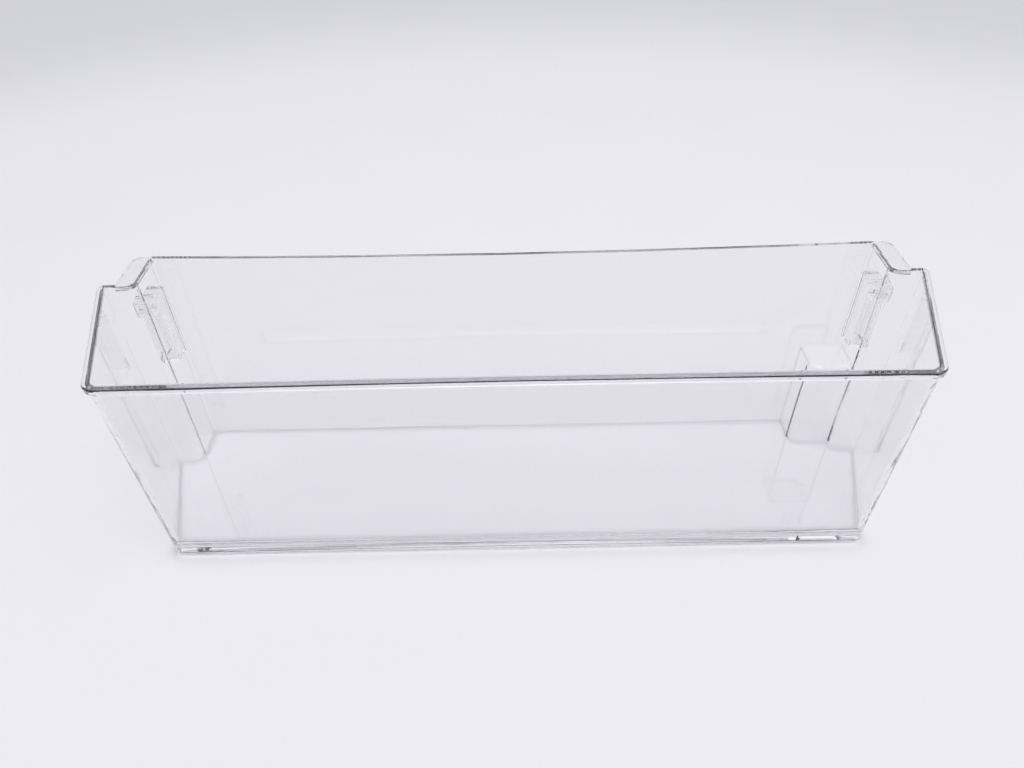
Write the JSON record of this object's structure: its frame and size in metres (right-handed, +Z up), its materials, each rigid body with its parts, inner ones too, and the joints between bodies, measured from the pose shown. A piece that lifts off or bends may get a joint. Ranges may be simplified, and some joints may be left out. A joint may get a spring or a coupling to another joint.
{
  "type": "fridge door shelf",
  "caption": "Clear moulded shelf for a fridge door: an open tray with a leaning front, flared sides, a rim bead and stepped rear corners that hook onto the door.",
  "frame": {"origin": "under the middle of the shelf, on the surface that it stands on", "axes": "+X along the door to the right as seen from the room, +Y from the room towards the door, +Z up"},
  "size_m": [0.4844, 0.1249, 0.149],
  "materials": {
    "clear_plastic": "clear polished moulding"
  },
  "bodies": {
    "root": {"door_shelf": "clear_plastic"}
  },
  "joints": []
}
